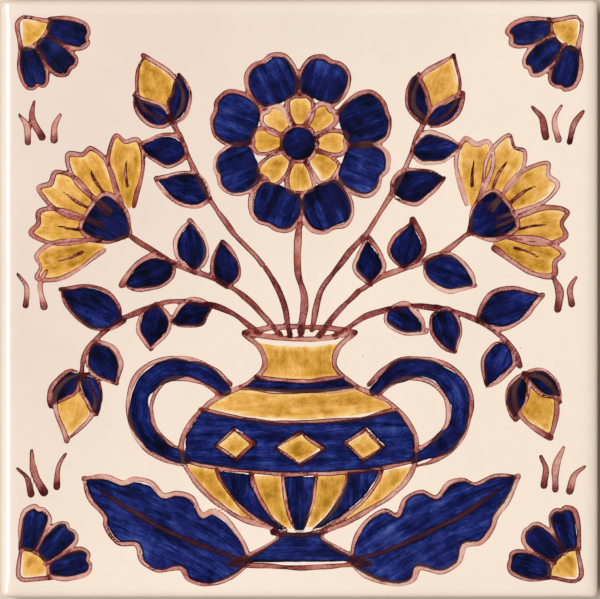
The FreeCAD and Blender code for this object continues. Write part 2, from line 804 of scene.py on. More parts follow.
@dataclass(frozen=True)
class Branch:
    """A stem with its leaves and the flower at its end."""

    route: tuple[Point, ...]
    leaves: tuple[LeafSpot, ...]
    flower: Flower
    flower_length: float
    width: float = 1.35
    joint_share: float = 0.42
    sample_step: float = 0.5
    knot_stride: int = 6

    def other_side(self) -> "Branch":
        """The same branch on the other side of the middle line."""
        leaves = tuple(replace(leaf, side=-leaf.side) for leaf in self.leaves)
        return replace(self, route=mirrored(self.route), leaves=leaves)

    def marks(self, hand: Hand) -> list[Mark]:
        """The branch's strokes: a dark pull, a paler one that goes on from it, leaves, flower.

        Args:
            hand: The painter's hand.

        Returns:
            The strokes in painting order.
        """
        spine = smooth_route(hand.loosen(self.route, 0.8), False, self.sample_step)
        heading = headings(spine)
        last = len(spine) - 1
        joint = int(last * hand.vary(self.joint_share, 0.25))
        lower = tuple(map(tuple, spine[: joint + 1 : self.knot_stride]))
        upper = tuple(map(tuple, spine[joint - 2 :: self.knot_stride]))
        result: list[Mark] = [
            BrushLine(lower, self.width * 1.08, depth=hand.vary(0.7, 0.15), end=Tip.ROUND),
            BrushLine(upper, self.width, depth=hand.vary(0.54, 0.35), start=Tip.ROUND, end=Tip.ROUND),
        ]
        for spot in self.leaves:
            index = int(last * spot.share)
            direction = math.degrees(math.atan2(heading[index][1], heading[index][0]))
            turn = direction + spot.side * spot.splay + hand.between(-4.0, 4.0)
            leaf = Leaf(
                tuple(spine[index]), turn, spot.length, spot.breadth,
                bend=spot.side * hand.between(-6.0, 20.0), line_depth=hand.between(0.1, 0.5),
            )
            result += leaf.marks(hand)
        end = math.degrees(math.atan2(heading[last][1], heading[last][0]))
        kind = FanFlower if self.flower is Flower.FAN else Bud
        result += kind(tuple(spine[last]), end, self.flower_length).marks(hand)
        return result


@dataclass(frozen=True)
class Vase:
    """A footed vase with two scrolled handles.

    Each profile is a list of half width and drop below the mouth, in mm. Tops and bottoms are
    drops too, and a sag is how far a line hangs at the middle of the body.
    """

    mouth_height: float = -8.5
    body_profile: tuple[Point, ...] = (
        (14.0, 0.0), (10.0, 3.8), (8.8, 8.4), (13.4, 12.8), (24.0, 18.8), (29.4, 28.0), (26.4, 37.4),
        (16.6, 45.2), (7.0, 49.6),
    )
    foot_profile: tuple[Point, ...] = ((5.8, 50.0), (5.6, 51.6), (10.2, 54.6), (17.0, 58.0))
    handle_route: tuple[Point, ...] = (
        (18.6, 14.6), (25.0, 9.8), (33.4, 9.4), (39.4, 14.8), (39.8, 22.8), (35.4, 28.6), (28.6, 31.6),
    )
    handle_half_widths: tuple[float, ...] = (1.8, 3.2, 1.9)
    handle_pull: float = 5.0
    neck_top: float = 1.4
    collar_top: float = 11.0
    collar_bottom: float = 13.6
    neck_sag: float = 1.6
    collar_sag: float = 1.2
    shoulder_sag: float = 1.4
    belt_top: float = 19.4
    belt_bottom: float = 32.4
    belt_sag: float = 3.2
    gadroons: int = 7
    gadroon_drops: tuple[float, ...] = (32.7, 36.0, 41.0, 46.0, 49.4)
    gadroon_end: float = 50.0
    gadroon_reach: float = 18.0
    line_width: float = 1.3

    def half_width(self, drop: float) -> float:
        """Half the vase's width at a distance below its mouth."""
        curve = smooth_route(self.body_profile, False, 0.3)
        return float(np.interp(drop, curve[:, 1], curve[:, 0]))

    def spot(self, share: float, drop: float, sag: float = 0.0) -> Point:
        """A place on the body, by share of its half width and drop below the mouth."""
        return (self.half_width(drop) * share, self.mouth_height - drop - sag * (1.0 - share * share))

    def hoop(self, drop: float, sag: float) -> tuple[Point, ...]:
        """A line round the body from its left edge to its right one, hanging a little."""
        return tuple(self.spot(share, drop, sag) for share in (-1.0, -0.6, -0.2, 0.2, 0.6, 1.0))

    def zone(self, top: float, bottom: float, top_sag: float, bottom_sag: float) -> tuple[Point, ...]:
        """Outlines the body between two hoops.

        Args:
            top: Drop of the upper hoop.
            bottom: Drop of the lower hoop.
            top_sag: How far the upper hoop hangs.
            bottom_sag: How far the lower hoop hangs.

        Returns:
            The outline, its sides along the contour.
        """
        middle = (top + bottom) / 2.0
        sides = (self.spot(1.0, middle),), (self.spot(-1.0, middle),)
        return self.hoop(top, top_sag) + sides[0] + self.hoop(bottom, bottom_sag)[::-1] + sides[1]

    def lozenges(self) -> list[tuple[Point, ...]]:
        """Sets out the three lozenges on the belt.

        Returns:
            The corners of each, narrower towards the sides.
        """
        middle = (self.belt_top + self.belt_bottom) / 2.0
        tall = (self.belt_bottom - self.belt_top) * 0.31
        result = []
        for share in (-0.56, 0.0, 0.56):
            centre = self.spot(share, middle, self.belt_sag)
            wide = tall * (1.5 - 0.5 * abs(share))
            corners = [(wide, 0.0), (0.0, tall), (-wide, 0.0), (0.0, -tall)]
            result.append(turned(corners, centre, -share * 9.0))
        return result

    def belt(self, hand: Hand) -> list[Mark]:
        """The wide cobalt belt and the ochre lozenges left out of it.

        Args:
            hand: The painter's hand.

        Returns:
            The strokes in painting order.
        """
        lozenges = self.lozenges()
        outline = self.zone(self.belt_top, self.belt_bottom, self.belt_sag, self.belt_sag)
        ground = Wash(outline, Pigment.COBALT, 0.0, inset=0.15, depth=0.5, rounded=False)
        result: list[Mark] = [replace(ground, spared=tuple(lozenges))]
        for lozenge in lozenges:
            depth = hand.vary(0.5, 0.2)
            result.append(Wash(lozenge, Pigment.OCHRE, 20.0, inset=0.5, depth=depth, rounded=False))
            corners = hand.loosen(lozenge, 0.2)
            for index in range(4):
                line = (corners[index], corners[(index + 1) % 4])
                result.append(BrushLine(line, 1.05, depth=hand.vary(0.45, 0.3)))
        return result

    def gadroon_row(self, hand: Hand) -> list[Mark]:
        """Lobes of the lower body, cobalt and ochre by turns.

        Args:
            hand: The painter's hand.

        Returns:
            The strokes in painting order.
        """
        result: list[Mark] = []
        for index in range(self.gadroons):
            edges = []
            for step in (index, index + 1):
                share = -1.0 + 2.0 * step / self.gadroons
                edge = []
                for drop in self.gadroon_drops:
                    left = (self.gadroon_end - drop) / self.gadroon_reach
                    edge.append(self.spot(share, drop, self.belt_sag * left))
                edges.append(edge)
            fill, inset = (Pigment.COBALT, 0.12) if index % 2 else (Pigment.OCHRE, 0.42)
            outline, depth = tuple(edges[0] + edges[1][::-1]), hand.vary(0.55, 0.2)
            result.append(Wash(outline, fill, 90.0, inset=inset, depth=depth, rounded=False))
            if index:
                line = hand.loosen(edges[0], 0.2)
                result.append(BrushLine(line, 1.1, depth=hand.vary(0.42, 0.35)))
        return result

    def body(self, hand: Hand) -> list[Mark]:
        """The neck, shoulder, belt and gadroons.

        Args:
            hand: The painter's hand.

        Returns:
            The strokes in painting order.
        """
        neck = self.zone(self.neck_top, self.collar_top, self.neck_sag, self.collar_sag)
        collar = self.zone(self.collar_top, self.collar_bottom, self.collar_sag, self.shoulder_sag)
        shoulder = self.zone(self.collar_bottom, self.belt_top, self.shoulder_sag, self.belt_sag)
        result: list[Mark] = [
            Wash(neck, Pigment.OCHRE, 90.0, inset=0.5, depth=0.52, rounded=False),
            Wash(collar, Pigment.COBALT, 0.0, inset=0.05, depth=0.7, rounded=False),
            Wash(shoulder, Pigment.OCHRE, 6.0, inset=0.55, depth=0.44, fade=0.12, rounded=False),
        ]
        result += self.belt(hand)
        result += self.gadroon_row(hand)
        for drop, sag in (
            (self.collar_top, self.collar_sag),
            (self.collar_bottom, self.shoulder_sag),
            (self.belt_top, self.belt_sag),
            (self.belt_bottom, self.belt_sag),
        ):
            hoop = hand.loosen(self.hoop(drop, sag), 0.25)
            result.append(BrushLine(hoop, 1.2, depth=hand.vary(0.42, 0.3), end=Tip.ROUND))
        return result

    def contour(self, hand: Hand) -> list[Mark]:
        """The contour of the body, the mouth and the foot.

        Args:
            hand: The painter's hand.

        Returns:
            The foot's fill and the contour strokes.
        """
        top = self.mouth_height
        foot = [(x, top - drop) for x, drop in self.foot_profile]
        outline = tuple(foot) + mirrored(foot[::-1])
        result: list[Mark] = [
            Wash(outline, Pigment.COBALT, 0.0, inset=0.3, depth=0.6, rounded=False),
        ]
        body = [(x, top - drop) for x, drop in self.body_profile]
        for side in (body, mirrored(body), foot, mirrored(foot)):
            depth = hand.vary(0.5, 0.3)
            line = hand.loosen(side, 0.25)
            result.append(BrushLine(line, self.line_width, depth=depth, end=Tip.ROUND))
        mouth, base = self.body_profile[0][0], self.foot_profile[-1]
        waist = self.foot_profile[0]
        for half, height, sag, depth in (
            (mouth, top, 1.6, 0.5),
            (mouth * 0.94, top, -1.7, 0.36),
            (waist[0] + 0.8, top - waist[1], -0.8, 0.62),
            (base[0] + 0.6, top - base[1], -0.9, 0.6),
        ):
            line = []
            for share in (-1.0, -0.4, 0.3, 1.0):
                line.append((half * share, height + sag * (1.0 - share * share)))
            result.append(BrushLine(tuple(line), self.line_width, depth=depth, end=Tip.ROUND))
        return result

    def handle(self, side: float, hand: Hand) -> list[Mark]:
        """One scroll: a wide cobalt pull between two drawn edges.

        Args:
            side: 1 for the right handle, -1 for the left one.
            hand: The painter's hand.

        Returns:
            The handle's strokes.
        """
        top = self.mouth_height
        path = tuple((side * x, top - drop) for x, drop in self.handle_route)
        spine = smooth_route(hand.loosen(path, 0.3), False, 4.0)
        heading = headings(spine)
        out = np.column_stack([-heading[:, 1], heading[:, 0]])
        share = np.linspace(0.0, 1.0, len(spine))
        swell = np.interp(share, (0.0, 0.5, 1.0), self.handle_half_widths)[:, None]
        result: list[Mark] = [
            BrushLine(
                path, self.handle_pull, Pigment.COBALT, depth=0.6, lift_reach=9.0, start=Tip.LIFT
            ),
        ]
        for edge in (spine + out * swell, spine - out * swell):
            result.append(BrushLine(tuple(map(tuple, edge)), 1.2, depth=hand.vary(0.38, 0.35)))
        return result

    def marks(self, hand: Hand) -> list[Mark]:
        """All strokes of the vase, handles first."""
        return self.handle(1.0, hand) + self.handle(-1.0, hand) + self.body(hand) + self.contour(hand)


@dataclass(frozen=True)
class CornerRosette:
    """A quarter of a rosette that sits in a corner of the tile."""

    corner: Point
    radius: float = 18.0
    heart: float = 7.6
    petals: int = 3
    half_angle: float = 13.4
    heart_angles: tuple[float, ...] = (-43.0, -22.0, 0.0, 22.0, 43.0)

    def marks(self, hand: Hand) -> list[Mark]:
        """The ornament's strokes.

        Args:
            hand: The painter's hand.

        Returns:
            The petals, then the quarter heart.
        """
        inward = math.degrees(math.atan2(-self.corner[1], -self.corner[0]))
        result: list[Mark] = []
        for index in range(self.petals):
            swing = 90.0 * ((index + 0.5) / self.petals - 0.5)
            angle = inward + swing
            petal = round_petal(self.corner, angle, self.half_angle, self.heart, self.radius)
            edge = hand.loosen(petal, 0.3)
            result.append(Wash(edge, Pigment.COBALT, angle, inset=hand.vary(0.3, 0.3), depth=0.68))
            result.append(petal_line(edge, hand))
        arc: list[Point] = []
        for swing in self.heart_angles:
            arc += turned([(self.heart, 0.0)], self.corner, inward + swing)
        heart, depth = tuple(arc) + (self.corner,), hand.vary(0.5, 0.2)
        result.append(Wash(heart, Pigment.OCHRE, inward, inset=0.4, depth=depth, rounded=False))
        for line in (hand.loosen(arc, 0.2), arc[:1] + [self.corner, arc[-1]]):
            result.append(BrushLine(tuple(line), 1.15, depth=hand.vary(0.45, 0.3), end=Tip.ROUND))
        return result


@dataclass(frozen=True)
class Bouquet:
    """The whole painted figure: a footed vase, its flowers and the corner ornaments."""

    vase: Vase = field(default_factory=Vase)
    rosette: Rosette = field(default_factory=lambda: Rosette((0.0, 39.0), 23.0))
    middle_stem: tuple[Point, ...] = ((0.3, -8.4), (1.3, 0.0), (-0.7, 8.0), (0.1, 18.8))
    branches: tuple[Branch, ...] = (
        Branch(
            ((5.4, -8.6), (10.6, -1.4), (20.0, 4.4), (32.0, 9.0), (43.0, 16.4)),
            (
                LeafSpot(0.4, 1, 54.0, 11.0, 6.8), LeafSpot(0.6, 1, 62.0, 12.5, 8.0),
                LeafSpot(0.72, -1, 46.0, 14.0, 8.4),
            ),
            Flower.FAN, 26.0,
        ),
        Branch(
            ((9.4, -8.8), (17.4, -3.4), (31.0, -1.2), (44.4, -4.6), (53.2, -12.6), (55.6, -18.6)),
            (
                LeafSpot(0.26, -1, 36.0, 11.0, 6.6), LeafSpot(0.5, -1, 60.0, 11.5, 7.4),
                LeafSpot(0.68, 1, 46.0, 17.0, 9.6), LeafSpot(0.84, -1, 62.0, 12.0, 7.6),
            ),
            Flower.BUD, 17.0,
        ),
        Branch(
            ((2.6, -8.4), (4.8, 0.6), (10.4, 9.0), (19.0, 19.0), (26.2, 31.0), (31.4, 44.0)),
            (
                LeafSpot(0.66, -1, 38.0, 14.0, 8.6), LeafSpot(0.86, -1, 50.0, 12.0, 7.6),
            ),
            Flower.BUD, 18.0,
        ),
    )
    base_leaf: Leaf = Leaf(
        (12.5, -66.0), 15.0, 47.0, 19.0, bend=24.0, fill_depth=0.5, line_width=1.3,
        swell=LOBED, midrib=True,
    )
    tufts: tuple[Grass, ...] = (
        Grass((65.0, 40.0), 86.0, 9.0),
        Grass((64.5, -48.0), 80.0, 9.5),
        Grass((66.5, -2.0), 92.0, 8.0, 2),
    )
    corner_inset: float = 70.2

    def marks(self, hand: Hand) -> list[Mark]:
        """Every stroke of the picture in painting order.

        Args:
            hand: The painter's hand.

        Returns:
            The strokes.
        """
        result: list[Mark] = [BrushLine(self.middle_stem, 1.8, depth=0.6, end=Tip.ROUND)]
        for branch in self.branches:
            result += branch.marks(hand)
            result += branch.other_side().marks(hand)
        leaf = self.base_leaf
        result += leaf.marks(hand)
        root = (-leaf.root[0], leaf.root[1])
        result += replace(leaf, root=root, heading=180.0 - leaf.heading, bend=-leaf.bend).marks(hand)
        result += self.rosette.marks(hand)
        result += self.vase.marks(hand)
        for x in (-self.corner_inset, self.corner_inset):
            for y in (-self.corner_inset, self.corner_inset):
                result += CornerRosette((x, y)).marks(hand)
        for tuft in self.tufts:
            result += tuft.marks(hand)
            at = (-tuft.at[0], tuft.at[1])
            result += replace(tuft, at=at, heading=180.0 - tuft.heading).marks(hand)
        return result


# The tile's body


@dataclass(frozen=True)
class TileForm:
    """Sizes of the fired tile in mm; its side and thickness are read from the imported model."""

    side: float
    thickness: float
    corner_radius: float = 1.4
    cushion_width: float = 3.6
    cushion_drop: float = 1.3
    face_corner_radius: float = 4.4
    side_lean: float = 0.5
    back_bevel_width: float = 0.6
    back_bevel_height: float = 0.8
    pockets_per_row: int = 12
    rib_width: float = 2.2
    pocket_depth: float = 0.8
    pocket_wall_lean: float = 0.4
    pocket_corner_cut: float = 1.2
    plain_border: float = 9.0

    @classmethod
    def from_frame(cls) -> "TileForm":
        """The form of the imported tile."""
        low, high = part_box(CAD_NODE)
        return cls(side=(high[0] - low[0]) / MM, thickness=(high[2] - low[2]) / MM)

    @property
    def half(self) -> float:
        """Half of the tile's side."""
        return self.side / 2.0

    @property
    def shoulder(self) -> float:
        """Height at which the sides end and the cushion edge starts."""
        return self.thickness - self.cushion_drop

    @property
    def foot_half(self) -> float:
        """Half of the back plane's side."""
        return self.half - self.side_lean - self.back_bevel_width

    @property
    def pocket_pitch(self) -> float:
        """Step from pocket to pocket."""
        return (2.0 * (self.foot_half - self.plain_border) + self.rib_width) / self.pockets_per_row


def round_corner(
    x: np.ndarray, y: np.ndarray, half: np.ndarray, radius: np.ndarray
) -> tuple[np.ndarray, np.ndarray]:
    """Moves points of square rings onto rings with round corners.

    Args:
        x: Sideways places on the square rings.
        y: Upward places on the square rings.
        half: Half side of each point's ring.
        radius: Corner radius of each point's ring.

    Returns:
        The places on the rounded rings.
    """
    wide = np.abs(x) >= np.abs(y)
    minor = np.where(wide, np.abs(y), np.abs(x))
    start = half - radius
    turn = np.clip((minor - start) / np.maximum(radius, 1e-9), 0.0, 1.0) * math.pi / 4.0
    bent = (minor > start) & (radius > 1e-6)
    new_major = np.where(bent, start + radius * np.cos(turn), half)
    new_minor = np.where(bent, start + radius * np.sin(turn), minor)
    out_x = np.where(wide, new_major, new_minor) * np.sign(x)
    out_y = np.where(wide, new_minor, new_major) * np.sign(y)
    return out_x, out_y


class Zone(Enum):
    """Parts of the tile's skin, in the order of its material slots."""

    FACE = 0
    SIDE = 1
    BACK = 2


@dataclass
class Skin:
    """Points and faces of the tile, with the zone of each face and its place in the bake map."""

    points: list[tuple[float, float, float]] = field(default_factory=list)
    faces: list[tuple[int, ...]] = field(default_factory=list)
    zones: list[int] = field(default_factory=list)
    maps: list[Point] = field(default_factory=list)

    def point(self, x: float, y: float, z: float) -> int:
        """Adds a point and returns its number."""
        self.points.append((x, y, z))
        return len(self.points) - 1

    def face(self, corners: Sequence[int], zone: Zone, mapped: Sequence[Point]) -> None:
        """Adds a face.

        Args:
            corners: Numbers of its points, in turn.
            zone: Zone that it belongs to.
            mapped: Place of each corner in the bake map.
        """
        self.faces.append(tuple(corners))
        self.zones.append(zone.value)
        self.maps.extend(mapped)

    def mesh(self, name: str) -> bpy.types.Mesh:
        """Makes a mesh of the skin.

        Args:
            name: The mesh's name.

        Returns:
            The mesh, flat on its back and smooth elsewhere.
        """
        data = bpy.data.meshes.new(name)
        data.from_pydata([(x * MM, y * MM, z * MM) for x, y, z in self.points], [], self.faces)
        data.polygons.foreach_set("material_index", self.zones)
        data.polygons.foreach_set("use_smooth", [zone != Zone.BACK.value for zone in self.zones])
        unwrapped = data.uv_layers.new(name="OFBake")
        unwrapped.data.foreach_set("uv", np.array(self.maps, np.float32).ravel())
        return data


@dataclass(frozen=True)
class BakeMap:
    """Where each zone of the skin lies in the bake map; the painted face takes most of it."""

    form: TileForm
    margin: float = 0.01
    face_share: float = 0.78
    back_share: float = 0.19
    strip_share: float = 0.04

    def face(self, x: float, y: float) -> Point:
        """Place of a point of the face."""
        scale = self.face_share / self.form.side
        return (self.margin + (x + self.form.half) * scale, self.margin + (y + self.form.half) * scale)

    def back(self, x: float, y: float) -> Point:
        """Places a point of the back.

        Args:
            x: Its sideways place.
            y: Its upward place.

        Returns:
            The place in the map.
        """
        scale = self.back_share / self.form.side
        start = 2.0 * self.margin + self.face_share
        return (start + (self.form.half - x) * scale, self.margin + (y + self.form.half) * scale)

    def strip(self, number: int, run: float, height: float) -> Point:
        """Place of a point of one of the four sides.

        Args:
            number: Which side, 0 to 3.
            run: Place along the side, from its middle.
            height: Height above the back.

        Returns:
            The place in the map.
        """
        start = 2.0 * self.margin + self.face_share + number * (self.strip_share + self.margin)
        across = height / self.form.thickness * self.strip_share
        return (self.margin + (run + self.form.half) / self.form.side * self.face_share, start + across)


@dataclass
class PaintedTile:
    """The fired tile as one closed skin, painted on its face."""

    form: TileForm
    cushion_steps: int = 10
    face_steps: int = 268
    corner_fade: float = 9.0
    side_heights: tuple[float, ...] = (4.6, 3.4, 2.2)
    wave_height: float = 0.03
    rim_height: float = 0.03
    sharp_edge: float = 28.0
    seed: int = 1711

    def grid_lines(self) -> np.ndarray:
        """Sets out the face's grid lines.

        Returns:
            Their places, closer together on the cushion edge.
        """
        form = self.form
        angle = np.linspace(0.0, math.pi / 2.0, self.cushion_steps + 1)
        band = form.cushion_width * (1.0 - np.cos(angle))
        flat = np.linspace(form.cushion_width, form.side - form.cushion_width, self.face_steps + 1)
        return np.concatenate([band[:-1], flat, form.side - band[-2::-1]]) - form.half

    def dip(self, x: np.ndarray, y: np.ndarray, inset: np.ndarray) -> np.ndarray:
        """How far the fired face lies under its highest level.

        Args:
            x: Sideways places of the points.
            y: Upward places of the points.
            inset: Distance of the points from the tile's edge.

        Returns:
            The dips in mm: slow waves, and a faint raised rim where the glaze drew back.
        """
        form = self.form
        swing = (
            np.sin(x / 11.0 + 0.7 * np.sin(y / 17.0))
            + np.sin(y / 9.0 + 1.3 + 0.6 * np.sin(x / 14.0))
            + 0.6 * np.sin((x + y) / 6.3 + 2.1)
        )
        waves = self.wave_height * (swing / 2.6 + 1.0) / 2.0
        fall = np.clip((inset - form.cushion_width) / (1.6 * form.cushion_width), 0.0, 1.0)
        rim = self.rim_height * fall * fall * (3.0 - 2.0 * fall)
        return rim + waves * np.clip(inset / form.cushion_width, 0.0, 1.0)

    def face_points(self, flat_x: np.ndarray, flat_y: np.ndarray) -> tuple[np.ndarray, ...]:
        """Places of the face's points.

        Args:
            flat_x: Sideways places on the square grid.
            flat_y: Upward places on the square grid.

        Returns:
            Sideways places, upward places and heights on the cushioned face.
        """
        form = self.form
        inset = form.half - np.maximum(np.abs(flat_x), np.abs(flat_y))
        share = np.clip(inset / form.cushion_width, 0.0, 1.0)
        radius = form.corner_radius + (form.face_corner_radius - form.corner_radius) * share
        radius = radius * np.clip(1.0 - (inset - form.cushion_width) / self.corner_fade, 0.0, 1.0)
        x, y = round_corner(flat_x, flat_y, form.half - inset, radius)
        rise = np.sqrt(np.clip(1.0 - (1.0 - share) ** 2, 0.0, 1.0))
        return x, y, form.shoulder + form.cushion_drop * rise - self.dip(x, y, inset)

    def lay_face(self, skin: Skin, x: np.ndarray, y: np.ndarray, z: np.ndarray) -> np.ndarray:
        """Adds the painted face.

        Args:
            skin: Where it goes.
            x: Sideways places of its points.
            y: Upward places of its points.
            z: Heights of its points.

        Returns:
            The number of each point, row by row.
        """
        bake = BakeMap(self.form)
        for place in zip(x.ravel(), y.ravel(), z.ravel()):
            skin.point(*map(float, place))
        mapped = [bake.face(px, py) for px, py, _ in skin.points]
        numbers = np.arange(x.size).reshape(x.shape)
        around = (numbers[:-1, :-1], numbers[:-1, 1:], numbers[1:, 1:], numbers[1:, :-1])
        for corners in np.stack([part.ravel() for part in around], axis=1).tolist():
            skin.face(corners, Zone.FACE, [mapped[corner] for corner in corners])
        return numbers

    def ring(self, numbers: np.ndarray) -> list[tuple[int, int, int]]:
        """Walks round the face, anticlockwise from above.

        Args:
            numbers: Numbers of the face's points.

        Returns:
            Row, column and side of each point of its rim.
        """
        last = numbers.shape[0] - 1
        result = [(0, column, 0) for column in range(last)]
        result += [(row, last, 1) for row in range(last)]
        result += [(last, column, 2) for column in range(last, 0, -1)]
        result += [(row, 0, 3) for row in range(last, 0, -1)]
        return result

    def lay_sides(
        self, skin: Skin, numbers: np.ndarray, flat_x: np.ndarray, flat_y: np.ndarray
    ) -> list[int]:
        """Adds the four sides and the bevel round the back.

        Args:
            skin: Where they go.
            numbers: Numbers of the face's points.
            flat_x: Sideways places of the face's points on the square grid.
            flat_y: Upward places of the face's points on the square grid.

        Returns:
            Numbers of the points round the back plane.
        """
        form, bake = self.form, BakeMap(self.form)
        ring = self.ring(numbers)
        square_x = np.array([flat_x[row, column] for row, column, _ in ring])
        square_y = np.array([flat_y[row, column] for row, column, _ in ring])
        sides = [side for _, _, side in ring]
        runs = np.where(np.array(sides) % 2 == 0, square_x, square_y)
        radius = np.full(len(ring), form.corner_radius)
        above, above_height = [int(numbers[row, column]) for row, column, _ in ring], form.shoulder
        for height in self.side_heights + (form.back_bevel_height, 0.0):
            half = form.half - form.side_lean * (form.shoulder - height) / form.shoulder
            half = form.foot_half if height == 0.0 else half
            scale = half / form.half
            x, y = round_corner(square_x * scale, square_y * scale, np.full(len(ring), half), radius)
            below = [skin.point(float(px), float(py), height) for px, py in zip(x, y)]
            for index, side in enumerate(sides):
                after = (index + 1) % len(ring)
                run = float(runs[index])
                next_run = float(runs[after]) if sides[after] == side else math.copysign(form.half, run)
                mapped = [
                    bake.strip(side, run, above_height), bake.strip(side, run, height),
                    bake.strip(side, next_run, height), bake.strip(side, next_run, above_height),
                ]
                skin.face((above[index], below[index], below[after], above[after]), Zone.SIDE, mapped)
            above, above_height = below, height
        return above

    def lay_flat(self, skin: Skin, corners: Sequence[int]) -> None:
        """Adds one flat face of the back.

        Args:
            skin: Where it goes.
            corners: Numbers of its points, in turn.
        """
        bake = BakeMap(self.form)
        mapped = [bake.back(skin.points[corner][0], skin.points[corner][1]) for corner in corners]
        skin.face(corners, Zone.BACK, mapped)

    def octagon(self, skin: Skin, centre: Point, half: float, height: float) -> list[int]:
        """Adds the points of a square with cut corners.

        Args:
            skin: Where they go.
            centre: Middle of the square.
            half: Half of its side.
            height: Its height above the back.

        Returns:
            Their numbers, anticlockwise from above.
        """
        cut = half - self.form.pocket_corner_cut
        outline = []
        for turn in range(4):
            outline += turned([(half, -cut), (half, cut)], centre, 90.0 * turn)
        return [skin.point(x, y, height) for x, y in outline]

    def lay_pocket(self, skin: Skin, cell: Sequence[int], centre: Point) -> None:
        """Adds one pressed pocket and the ribs round it.

        Args:
            skin: Where it goes.
            cell: Points at the middle of the ribs' crossings, from the lower right corner on.
            centre: Middle of the pocket.
        """
        form = self.form
        half = (form.pocket_pitch - form.rib_width) / 2.0
        mouth = self.octagon(skin, centre, half, 0.0)
        floor = self.octagon(skin, centre, half - form.pocket_wall_lean, form.pocket_depth)
        self.lay_flat(skin, floor[::-1])
        for index in range(8):
            after = (index + 1) % 8
            self.lay_flat(skin, (mouth[after], mouth[index], floor[index], floor[after]))
        for index in range(4):
            corner, after = cell[index], cell[(index + 1) % 4]
            left, right = mouth[2 * index + 1], mouth[(2 * index + 2) % 8]
            self.lay_flat(skin, (mouth[2 * index], left, corner))
            self.lay_flat(skin, (right, after, corner, left))

    def lay_back(self, skin: Skin, rim: list[int]) -> None:
        """Adds the keyed back: its pockets, its ribs and its plain border.

        Args:
            skin: Where it goes.
            rim: Numbers of the points round the back plane, anticlockwise from above.
        """
        pitch, count = self.form.pocket_pitch, self.form.pockets_per_row
        lines = [pitch * (index - count / 2.0) for index in range(count + 1)]
        knots = [[skin.point(x, y, 0.0) for x in lines] for y in lines]
        for row in range(count):
            for column in range(count):
                cell = (
                    knots[row][column + 1], knots[row + 1][column + 1],
                    knots[row + 1][column], knots[row][column],
                )
                centre = (lines[column] + pitch / 2.0, lines[row] + pitch / 2.0)
                self.lay_pocket(skin, cell, centre)
        inner = knots[0][:count] + [knots[row][count] for row in range(count)]
        inner += knots[count][count:0:-1] + [knots[row][0] for row in range(count, 0, -1)]
        self.lay_border(skin, rim, inner)

    def lay_border(self, skin: Skin, outer: list[int], inner: list[int]) -> None:
        """Adds the plain border between two rings that start at the same corner.

        Args:
            skin: Where it goes.
            outer: Points of the outer ring, anticlockwise from above.
            inner: Points of the inner ring, the same way round.
        """
        outer_turn = [self.way_round(skin.points[number]) for number in outer[1:]] + [8.0]
        inner_turn = [self.way_round(skin.points[number]) for number in inner[1:]] + [8.0]
        at_outer, at_inner = 0, 0
        while at_outer < len(outer) or at_inner < len(inner):
            here, there = outer[at_outer % len(outer)], inner[at_inner % len(inner)]
            inner_done = at_inner == len(inner)
            outer_left = at_outer < len(outer)
            if inner_done or (outer_left and outer_turn[at_outer] <= inner_turn[at_inner]):
                at_outer += 1
                self.lay_flat(skin, (here, there, outer[at_outer % len(outer)]))
            else:
                at_inner += 1
                self.lay_flat(skin, (here, there, inner[at_inner % len(inner)]))

    @staticmethod
    def way_round(point: tuple[float, float, float]) -> float:
        """How far round the tile a point lies.

        Args:
            point: The point.

        Returns:
            0 to 8, two for each side, anticlockwise from the tile's first corner.
        """
        x, y, _ = point
        if abs(y) >= abs(x):
            return (1.0 if y < 0.0 else 5.0) - x / y
        return (3.0 if x > 0.0 else 7.0) + y / x

    def store(self, data: bpy.types.Mesh, canvas: Canvas) -> None:
        """Keeps what each pigment left as attributes of the mesh's points.

        Args:
            data: The tile's mesh.
            canvas: The painted canvas.
        """
        for pigment, layer in canvas.layers.items():
            marks = (layer.edge, layer.under, layer.depth)
            strokes = (layer.along, layer.across)
            for name, parts, blank in (("mark", marks, PigmentLayer.FAR), ("brush", strokes, 0.0)):
                values = np.full((len(data.vertices), 3), blank, np.float32)
                for axis, part in enumerate(parts):
                    values[: part.size, axis] = part.ravel()
                attribute = data.attributes.new(f"{pigment.value}_{name}", "FLOAT_VECTOR", "POINT")
                attribute.data.foreach_set("vector", values.ravel())

    def build(self, name: str) -> bpy.types.Object:
        """Builds and paints the tile.

        Args:
            name: The object's name.

        Returns:
            The tile, linked to the scene.
        """
        skin = Skin()
        flat_x, flat_y = np.meshgrid(self.grid_lines(), self.grid_lines())
        x, y, z = self.face_points(flat_x, flat_y)
        numbers = self.lay_face(skin, x, y, z)
        self.lay_back(skin, self.lay_sides(skin, numbers, flat_x, flat_y))
        data = skin.mesh(name)
        hand = Hand(self.seed)
        canvas = Canvas(x, y)
        canvas.paint(Bouquet().marks(hand), hand)
        self.store(data, canvas)
        data.set_sharp_from_angle(angle=math.radians(self.sharp_edge))
        data.validate()
        piece = bpy.data.objects.new(name, data)
        bpy.context.scene.collection.objects.link(piece)
        return piece

    def dress(self, piece: bpy.types.Object, shelf: "GroupShelf") -> None:
        """Gives each zone its finish.

        Args:
            piece: The tile.
            shelf: The shared shader groups.
        """
        for finish in (PaintedGlaze(), GlazedSide(), BareBack()):
            piece.data.materials.append(finish.build(shelf))


# Finishes


